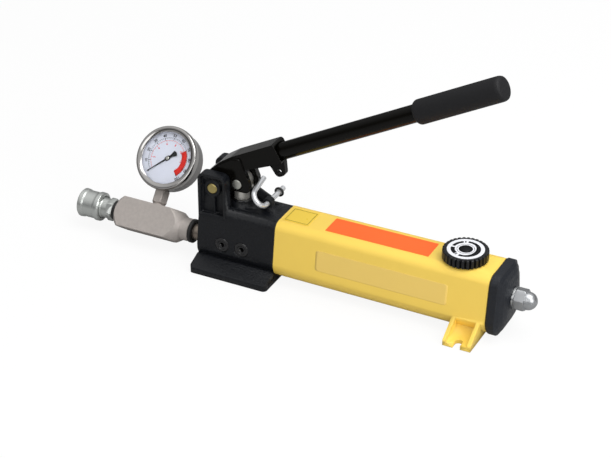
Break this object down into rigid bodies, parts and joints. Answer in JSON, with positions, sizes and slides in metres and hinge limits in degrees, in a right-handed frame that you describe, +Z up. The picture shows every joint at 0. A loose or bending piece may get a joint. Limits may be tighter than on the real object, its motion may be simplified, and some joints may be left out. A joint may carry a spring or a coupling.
{
  "type": "hydraulic hand pump",
  "caption": "Hydraulic hand pump with a long lever, a box-shaped oil tank, a pressure gauge on an adapter block and a quick coupler, standing on flat feet.",
  "frame": {"origin": "centre of the front foot's flat underside", "axes": "+X along the tank from the outlet end to the end cap, +Y to the side away from the valve plugs, +Z up"},
  "size_m": [0.4846, 0.1093, 0.2579],
  "materials": {
    "black_nylon": "fine textured black nylon",
    "body_black": "fine textured black coat over cast aluminium",
    "yellow": "satin yellow paint",
    "gloss_black": "gloss black paint",
    "grip": "matte black grip rubber",
    "cap": "fine textured dark grey plastic",
    "seal": "black seal rubber",
    "zinc": "bright zinc plate",
    "yellow_zinc": "yellow zinc plate",
    "steel": "ground steel",
    "grey_steel": "bead blasted grey steel",
    "polished": "polished stainless steel",
    "dial": "pale dial face",
    "pointer": "black pointer",
    "glass": "clear window",
    "brass": "plain brass",
    "disc": "pale insert disc",
    "orange": "plain orange label",
    "yellow_label": "plain yellow label"
  },
  "bodies": {
    "pump": {"bourdon_tube": "brass", "cap_nut": "zinc", "coupler_body": "zinc", "coupler_ring": "seal", "end_cap": "cap", "front_label": "yellow_label", "front_seal": "seal", "front_valve_ball": "steel", "front_valve_plug": "black_nylon", "front_valve_spring": "steel", "gauge_adapter": "grey_steel", "gauge_bezel": "polished", "gauge_case": "polished", "gauge_dial": "dial", "gauge_glass": "glass", "gauge_movement": "brass", "gauge_stem": "grey_steel", "gland_nut": "cap", "nut_washer": "steel", "outlet_nipple": "zinc", "outlet_ring": "seal", "piston_seal": "seal", "pivot_pin": "yellow_zinc", "pump_body": "body_black", "rear_seal": "seal", "rear_valve_ball": "steel", "rear_valve_plug": "black_nylon", "rear_valve_spring": "steel", "rod_wiper": "seal", "suction_strainer": "brass", "suction_tube": "brass", "tank": "yellow", "tie_rod": "grey_steel", "top_label": "orange"},
    "lever": {"lever_beam": "gloss_black", "handle_tube": "gloss_black", "grip": "grip", "piston_pin": "zinc"},
    "piston": {"piston": "steel"},
    "lock_ring": {"lock_pin_ring": "seal"},
    "lock_pin": {"lock_pin": "zinc"},
    "vent_seal": {"vent_seal": "seal"},
    "vent_cap": {"vent_cap": "black_nylon", "vent_disc": "disc"},
    "release_valve": {"release_knob": "black_nylon", "release_stem": "grey_steel"},
    "pointer": {"gauge_pointer": "pointer", "pointer_shaft": "brass"},
    "sleeve": {"coupler_sleeve": "zinc"},
    "poppet": {"coupler_poppet": "steel"}
  },
  "joints": [
    {"name": "lever_swing", "type": "hinge", "parent": "pump", "child": "lever", "pos_m": [-0.0274, 0, 0.0844], "axis": [0, 1, 0], "range_deg": [-12, 18]},
    {"name": "piston_stroke", "type": "slide", "parent": "pump", "child": "piston", "axis": [0, 0, 1], "range_m": [-0.0072, 0.0048]},
    {"name": "lock_pin_slide", "type": "slide", "parent": "pump", "child": "lock_ring", "axis": [0, 1, 0], "range_m": [-0.015, 0]},
    {"name": "lock_pin_swing", "type": "hinge", "parent": "lock_ring", "child": "lock_pin", "pos_m": [0.0233, 0, 0.0725], "axis": [0, 1, 0], "range_deg": [0, 110]},
    {"name": "vent_cap_lift", "type": "slide", "parent": "pump", "child": "vent_seal", "axis": [0, 0, 1], "range_m": [0, 0.03]},
    {"name": "vent_cap_turn", "type": "hinge", "parent": "vent_seal", "child": "vent_cap", "pos_m": [0.2274, 0, 0.07548], "axis": [0, 0, 1], "range_deg": [0, 270]},
    {"name": "release_valve_turn", "type": "hinge", "parent": "pump", "child": "release_valve", "pos_m": [-0.0245, 0.02265, 0.034], "axis": [0, 1, 0], "range_deg": [0, 180]},
    {"name": "pointer_turn", "type": "hinge", "parent": "pump", "child": "pointer", "pos_m": [-0.10285, 0.03317, 0.06948], "axis": [0, -0.7694, 0.6388], "range_deg": [-270, 0]},
    {"name": "sleeve_slide", "type": "slide", "parent": "pump", "child": "sleeve", "axis": [1, 0, 0], "range_m": [0, 0.004], "stiffness_N_per_m": 1500, "springref_m": -0.002},
    {"name": "poppet_slide", "type": "slide", "parent": "pump", "child": "poppet", "axis": [1, 0, 0], "range_m": [0, 0.0035], "stiffness_N_per_m": 800, "springref_m": -0.001}
  ],
  "couplings": [
    {"joint": "piston_stroke", "follows": "lever_swing", "m_per_rad": -0.022193}
  ]
}
